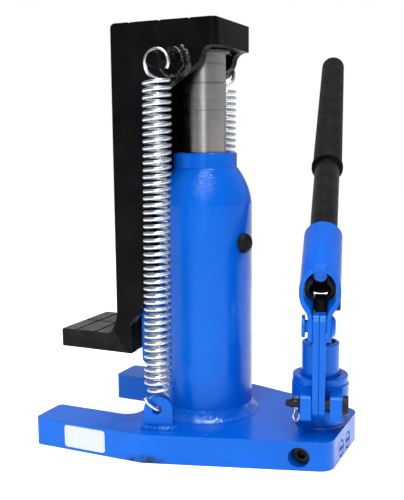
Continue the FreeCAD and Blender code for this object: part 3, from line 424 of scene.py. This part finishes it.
for name, obj in NODES.items():
    dress(obj, SLOT_OF[name])
    if name in OWN_LOOKS:
        obj.data.materials[0] = OWN_LOOKS[name]
    for polygon in obj.data.polygons:
        polygon.use_smooth = True
    obj.data.set_sharp_from_angle(angle=SHARP_ANGLE)

# ---------------------------------------------------------------- pieces made here

MM = 0.001


def mesh_piece(name, verts, faces, look, body):
    """A visible piece of its own. It rides on the body, unless body is None."""
    mesh = bpy.data.meshes.new(name)
    mesh.from_pydata(verts, [], faces)
    mesh.update()
    work = bmesh.new()
    work.from_mesh(mesh)
    bmesh.ops.recalc_face_normals(work, faces=work.faces)
    work.to_mesh(mesh)
    work.free()
    for polygon in mesh.polygons:
        polygon.use_smooth = True
    obj = bpy.data.objects.new(name, mesh)
    bpy.context.scene.collection.objects.link(obj)
    dress(obj, look)
    if body:
        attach(obj, body)
    return obj


def smooth_path(points, per_span):
    """Catmull-Rom line through the points."""
    line = []
    last = len(points) - 1
    for i in range(last):
        p0, p1 = points[max(i - 1, 0)], points[i]
        p2, p3 = points[i + 1], points[min(i + 2, last)]
        for k in range(per_span):
            t = k / per_span
            line.append(0.5 * ((2 * p1) + (p2 - p0) * t + (2 * p0 - 5 * p1 + 4 * p2 - p3) * t * t
                               + (3 * p1 - p0 - 3 * p2 + p3) * t ** 3))
    line.append(points[last].copy())
    return line


def tube(points, radius, sides=12, closed=False):
    """Vertices and faces of a round tube along the points. radius is a number or one per point."""
    count = len(points)
    verts, faces = [], []
    normal = None
    for i, place in enumerate(points):
        if closed:
            ahead, behind = points[(i + 1) % count], points[i - 1]
        else:
            ahead, behind = points[min(i + 1, count - 1)], points[max(i - 1, 0)]
        tangent = (ahead - behind).normalized()
        if normal is None:
            normal = tangent.orthogonal().normalized()
        normal = (normal - tangent * normal.dot(tangent)).normalized()
        side = tangent.cross(normal)
        size = radius[i] if isinstance(radius, list) else radius
        for k in range(sides):
            angle = 2 * math.pi * k / sides
            verts.append(place + (normal * math.cos(angle) + side * math.sin(angle)) * size)
    for i in range(count if closed else count - 1):
        here, there = i * sides, ((i + 1) % count) * sides
        for k in range(sides):
            n = (k + 1) % sides
            faces.append((here + k, here + n, there + n, there + k))
    if not closed:
        faces.append(tuple(range(sides)))
        faces.append(tuple((count - 1) * sides + k for k in range(sides)))
    return verts, faces


BEAD_STEP = 0.45
BEAD_SIDES = 14
BEAD_GRAIN = 2.6


def weld(name, points, size, body, look="blue_weld", pitch=2.2, closed=False, seed=0, lumpy=0.16,
         ripples=0.2):
    """Weld bead along the points: overlapping ripples of uneven size, in millimetres."""
    line = []
    runs = points + ([points[0]] if closed else [])
    for start, end in zip(runs, runs[1:]):
        span = (end - start).length
        count = max(int(span / (BEAD_STEP * MM)), 1)
        line += [start.lerp(end, k / count) for k in range(count)]
    if not closed:
        line.append(points[-1].copy())
    sizes, travelled = [], 0.0
    for i, place in enumerate(line):
        if i:
            travelled += (place - line[i - 1]).length
        phase = (travelled / (pitch * MM)) % 1
        ripple = 0.86 + ripples * math.sqrt(max(math.sin(math.pi * phase), 0))
        uneven = 1 + 0.14 * noise.noise(Vector((travelled * 260, seed, 0)))
        sizes.append(size * MM * ripple * uneven)
    verts, faces = tube(line, sizes, BEAD_SIDES, closed)
    grain = 1 / (BEAD_GRAIN * MM)
    for i, vertex in enumerate(verts):
        centre = line[i // BEAD_SIDES]
        lump = 1 + lumpy * noise.noise(vertex * grain + Vector((seed, 0, 0)))
        verts[i] = centre + (vertex - centre) * lump
    return mesh_piece(name, verts, faces, look, body)


def lathe(profile, segments, swell):
    """Vertices and faces of a closed profile turned about Z. swell(angle, z) adds to the radius."""
    verts, faces = [], []
    count = len(profile)
    for s in range(segments):
        angle = 2 * math.pi * s / segments
        for r, z in profile:
            reach = r + swell(angle, z)
            verts.append(Vector((reach * math.cos(angle), reach * math.sin(angle), z)) * MM)
    for s in range(segments):
        here, there = s * count, ((s + 1) % segments) * count
        for k in range(count):
            n = (k + 1) % count
            faces.append((here + k, here + n, there + n, there + k))
    return verts, faces


# weld beads, in millimetres

def spot(x, y, z):
    return Vector((x, y, z)) * MM


def ring(centre, radius, axis, count=64, start=0.0, sweep=360.0):
    """Points round a centre. axis is the letter of the ring's own axis."""
    points = []
    whole = sweep >= 360
    for k in range(count if whole else count + 1):
        angle = math.radians(start + sweep * k / count)
        a, b = radius * math.cos(angle), radius * math.sin(angle)
        move = (a, b, 0) if axis == "Z" else (a, 0, b)
        points.append(spot(centre[0] + move[0], centre[1] + move[1], centre[2] + move[2]))
    return points


def foot_swell(angle, z):
    """Unevenness of the bead that joins the reservoir to the base."""
    ripple = math.sqrt(abs(math.sin(angle * 52)))
    swell = noise.noise(Vector((math.cos(angle) * 7, math.sin(angle) * 7, z * 0.2)))
    fine = noise.noise(Vector((math.cos(angle) * 30, math.sin(angle) * 30, z * 0.9)))
    return 0.05 * ripple + 0.4 * swell + 0.22 * fine


SIDES = ((-1, "near"), (1, "far"))
FOOT_R = reservoir_high.x / MM
BASE_TOP = base_high.z / MM
FILLET = 7
SHELL_R = FOOT_R - FILLET
BURIED = 1.5
# inward from the bead's outer edge, and up from the base
FOOT_CURVE = ((-0.1, -1.0), (0.4, 0.4), (1.9, 1.2), (3.6, 2.5), (5.2, 4.3), (6.5, 6.6), (7.1, 9.0))

profile = [(SHELL_R - BURIED, BASE_TOP - 1.0)]
profile += [(FOOT_R - inward, BASE_TOP + up) for inward, up in FOOT_CURVE]
profile.append((SHELL_R - BURIED, BASE_TOP + 10.4))
verts, faces = lathe(profile, 832, foot_swell)
mesh_piece("reservoir_foot_weld", verts, faces, "blue_weld", "base")

SPRING_Y = 66.0
LUG_TURN = math.radians(17)
LUG_HOLE_Z = 40
lug_low, lug_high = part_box("spring_lugs")
LUG_X = (lug_low.x + lug_high.x) / 2 / MM
# corners of the bead round a lug's foot, along and across the lug
LUG_FOOT = ((-12.0, -3.6), (12.0, -3.6), (12.0, 3.6), (-12.0, 3.6))
for side, name in SIDES:
    turn = LUG_TURN * -side
    path = []
    for x, y in LUG_FOOT:
        path.append(spot(LUG_X + x * math.cos(turn) - y * math.sin(turn),
                         SPRING_Y * side + x * math.sin(turn) + y * math.cos(turn), BASE_TOP + 0.4))
    weld(f"lug_foot_weld_{name}", path, 3.1, "base", pitch=3.6, closed=True, seed=3 + side, lumpy=0.2)

PUMP_X = 104
pump_foot = ring((PUMP_X, 0, BASE_TOP + 0.5), 18.7, "Z")
weld("pump_foot_weld", pump_foot, 1.7, "base", pitch=2.4, closed=True, seed=8)

rail_low, rail_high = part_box("guide_rail")
for side, name in SIDES:
    x = -math.sqrt(SHELL_R ** 2 - (rail_high.y / MM) ** 2) - 0.4
    y = (rail_high.y / MM + 0.7) * side
    line = [spot(x, y, rail_low.z / MM + 1.5), spot(x, y, rail_high.z / MM - 2)]
    weld(f"rail_weld_{name}", line, 1.9, "base", pitch=2.6, seed=10 + side)

lift_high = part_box("lift_frame")[1]
pin_low, pin_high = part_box("spring_pins")
PIN_X = (pin_low.x + pin_high.x) / 2 / MM
PIN_Z = (pin_low.z + pin_high.z) / 2 / MM
FACE_Y = lift_high.y / MM
HEAD_T = 22
HEAD_UNDER = lift_high.z / MM - HEAD_T
CHEEK_Y = 26.9
# along X and Z: the seam where the toe is welded to the upright
TOE_SEAM = ((-73.8, 95.4), (-70.6, 90.0), (-65.4, 82.0), (-59.8, 75.9))
for side, name in SIDES:
    # the pin's root has one full pass and two short ones laid over it
    root = ring((PIN_X, (FACE_Y + 1.0) * side, PIN_Z), 10.0, "Y")
    weld(f"pin_root_weld_{name}", root, 3.0, "lift", "black_weld", pitch=5.2, closed=True,
         seed=20 + side, lumpy=0.3, ripples=0.09)
    second = ring((PIN_X + 3.0, (FACE_Y + 1.2) * side, PIN_Z + 0.5), 11.4, "Y", 40, -64, 132)
    weld(f"pin_second_weld_{name}", second, 3.5, "lift", "black_weld", pitch=7.0,
         seed=24 + side, lumpy=0.3, ripples=0.08)
    third = ring((PIN_X + 1.6, (FACE_Y + 3.4) * side, PIN_Z + 1.5), 8.4, "Y", 30, -10, 80)
    weld(f"pin_third_weld_{name}", third, 2.6, "lift", "black_weld", pitch=6.0,
         seed=28 + side, lumpy=0.3, ripples=0.08)
    under_head = [spot(x, CHEEK_Y * side, HEAD_UNDER - 0.7) for x in (-52, 13.5)]
    weld(f"cheek_weld_{name}", under_head, 2.3, "lift", "black_weld", pitch=2.8, seed=32 + side)
    seam = [spot(x, (FACE_Y - 0.75) * side, z) for x, z in TOE_SEAM]
    weld(f"toe_seam_weld_{name}", seam, 1.35, "lift", "toe_paint", pitch=2.4, seed=36 + side)
ram_head = ring((0, 0, HEAD_UNDER - 1.1), 19.0, "Z")
weld("ram_head_weld", ram_head, 2.2, "lift", "black_weld", pitch=3.6, closed=True, seed=41)

# return springs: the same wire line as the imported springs, stretched between base and lift

COIL_R = 10.0
WIRE_R = 1.6
COIL_LOW, COIL_HIGH = 60, 306
TURNS = 44
STEPS = 24
# radius of the spring pins, where the loops hang
PIN_R = 6.2


def spring_line(side):
    """Middle line of a spring's wire: hook through the lug, coil, loop over the pin."""
    way = -side
    y = SPRING_Y * side
    low = Vector((LUG_X, y, COIL_LOW))
    high = Vector((PIN_X, y, COIL_HIGH))
    hole = Vector((LUG_X, y, LUG_HOLE_Z))
    axis = high - low
    out = Vector((math.sin(LUG_TURN), side * math.cos(LUG_TURN), 0)) * 5.2

    def beside(centre, across, outward, up):
        return centre + Vector((across * way, outward * way, up))

    start = [
        beside(hole, -8.2, -7.5, 11), beside(hole, -5.4, -7.3, 6.2),
        hole + out + Vector((-0.6 * way, 0, 1.4)),
        hole + Vector((0, 0, 0.2)), hole - out + Vector((0, 0, 1.2)), beside(hole, 3.0, 8.0, 5.5),
        beside(low, 4.2, 7.6, -9.5), beside(low, -1.8, 6.6, -6.4), beside(low, -7.2, 1.6, -4.6),
        beside(low, -5.5, -5.6, -3.2), beside(low, 2.0, -8.4, -2.0), beside(low, 8.8, -4.6, -0.8),
    ]
    coil = []
    for step in range(TURNS * STEPS + 1):
        angle = 2 * math.pi * step / STEPS
        reach = Vector((math.cos(angle) * way, math.sin(angle) * way, 0)) * COIL_R
        coil.append(low + axis * (step / (TURNS * STEPS)) + reach)
    end = [beside(high, 5.5, 8.2, 1.2), beside(high, -3.5, 8.6, 2.6), beside(high, -9.2, 3.2, 6.5)]
    loop = Vector((PIN_X, y, PIN_Z + PIN_R + WIRE_R + 0.2 - COIL_R))
    for angle in (180, 150, 120, 90, 60, 30, 0, -30):
        turn = math.radians(angle)
        end.append(beside(loop, COIL_R * math.cos(turn), 0, COIL_R * math.sin(turn)))
    first = smooth_path(start + coil[:3:2], 8)[:-8]
    last = smooth_path([coil[-3]] + [coil[-1]] + end, 8)[8:]
    return [p * MM for p in first + coil + last[1:]]


def make_spring(name, side):
    verts, faces = tube(spring_line(side), WIRE_R * MM, 10)
    obj = mesh_piece(name, verts, faces, "zinc_wire", None)
    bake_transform(obj)
    return obj


near_spring = make_spring("near_return_spring", -1)
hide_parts("spring_near")
far_spring = make_spring("far_return_spring", 1)
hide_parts("spring_far")

# ---------------------------------------------------------------- stage, lights, camera

FLOOR_HALF = 6
FLOOR_GLOW = 0.71
floor_mesh = bpy.data.meshes.new("floor")
corners = [(-FLOOR_HALF, -FLOOR_HALF, 0), (FLOOR_HALF, -FLOOR_HALF, 0),
           (FLOOR_HALF, FLOOR_HALF, 0), (-FLOOR_HALF, FLOOR_HALF, 0)]
floor_mesh.from_pydata(corners, [], [(0, 1, 2, 3)])
floor = bpy.data.objects.new("floor", floor_mesh)
bpy.context.scene.collection.objects.link(floor)
floor_look = Shade("floor_look", (0.82, 0.82, 0.82), 0.7, Specular_IOR_Level=0.1)
floor_look.rough(floor_look.spread(floor_look.noise(5, 2), 0.3, 0.7, 0.65, 0.75))
floor_look.shader.inputs["Emission Color"].default_value = (1, 1, 1, 1)
floor_look.shader.inputs["Emission Strength"].default_value = FLOOR_GLOW
floor.data.materials.append(floor_look.material)

# white room for the eye, dimmer for lighting, so that dark paint stays dark
world = bpy.data.worlds.new("studio")
world.use_nodes = True
room = world.node_tree
background = room.nodes["Background"]
background.inputs["Color"].default_value = (1, 1, 1, 1)
rays = room.nodes.new("ShaderNodeLightPath")


def room_level(value, low, high, to_low, to_high):
    """Maps a value of the room's nodes; each end is a number or another node's value."""
    node = room.nodes.new("ShaderNodeMapRange")
    for key, number in (("From Min", low), ("From Max", high)):
        node.inputs[key].default_value = number
    for key, number in (("To Min", to_low), ("To Max", to_high)):
        if isinstance(number, float):
            node.inputs[key].default_value = number
        else:
            room.links.new(number, node.inputs[key])
    room.links.new(value, node.inputs["Value"])
    return node.outputs["Result"]


# strength of the room: as seen, as light, and as reflections from darker front to lighter back
ROOM_SEEN, ROOM_LIGHT = 1.0, 0.34
MIRROR_FRONT, MIRROR_BACK = 0.2, 0.46
sky = room.nodes.new("ShaderNodeTexCoord")
parts = room.nodes.new("ShaderNodeSeparateXYZ")
room.links.new(sky.outputs["Generated"], parts.inputs["Vector"])
mirror = room_level(parts.outputs["Y"], -0.5, 0.7, MIRROR_FRONT, MIRROR_BACK)
soft = room_level(rays.outputs["Is Glossy Ray"], 0, 1, ROOM_LIGHT, mirror)
strength = room_level(rays.outputs["Is Camera Ray"], 0, 1, soft, ROOM_SEEN)
room.links.new(strength, background.inputs["Strength"])
bpy.context.scene.world = world


def area(name, place, target, size, power, shine=True):
    """A soft box. Without shine it lights the jack but doesn't show in reflections."""
    light = bpy.data.lights.new(name, "AREA")
    light.shape = "RECTANGLE"
    light.size, light.size_y = size
    light.energy = power
    obj = bpy.data.objects.new(name, light)
    obj.visible_glossy = shine
    obj.location = place
    obj.rotation_mode = "QUATERNION"
    obj.rotation_quaternion = (Vector(target) - Vector(place)).to_track_quat("-Z", "Y")
    bpy.context.scene.collection.objects.link(obj)


AIM = (0, 0, 0.15)
area("key_left", (-1.15, -1.05, 0.8), AIM, (0.9, 1.5), 4.2, shine=False)
area("key_front", (0.45, -1.5, 0.7), AIM, (0.6, 1.2), 4)
area("key_right", (1.35, -0.7, 0.9), (0.05, 0, 0.15), (1.0, 1.3), 2.5, shine=False)
area("front_top", (0.28, -0.9, 1.2), AIM, (0.5, 0.35), 7)
area("top", (0.05, -0.05, 1.5), (0, 0, 0.1), (0.6, 0.6), 17)

# degrees: turn to the left of straight ahead, tilt above level, and roll
HEADING, TILT, ROLL = 24.945, -8.018, -0.509
CAMERA_PLACE = (0.28341, -0.61765, 0.26054)
camera_data = bpy.data.cameras.new("camera")
camera = bpy.data.objects.new("camera", camera_data)
bpy.context.scene.collection.objects.link(camera)
turn = Matrix.Rotation(math.radians(HEADING), 3, "Z")
turn = turn @ Matrix.Rotation(math.radians(90 + TILT), 3, "X")
turn = turn @ Matrix.Rotation(math.radians(ROLL), 3, "Z")
camera.rotation_mode = "QUATERNION"
camera.rotation_quaternion = turn.to_quaternion()
camera.location = CAMERA_PLACE
camera_data.lens = 56.65
camera_data.sensor_width = 36
camera_data.clip_start = 0.01
bpy.context.scene.camera = camera

# the picture keeps the paint's own blue, so the plain view transform is used
bpy.context.scene.view_settings.view_transform = "Standard"
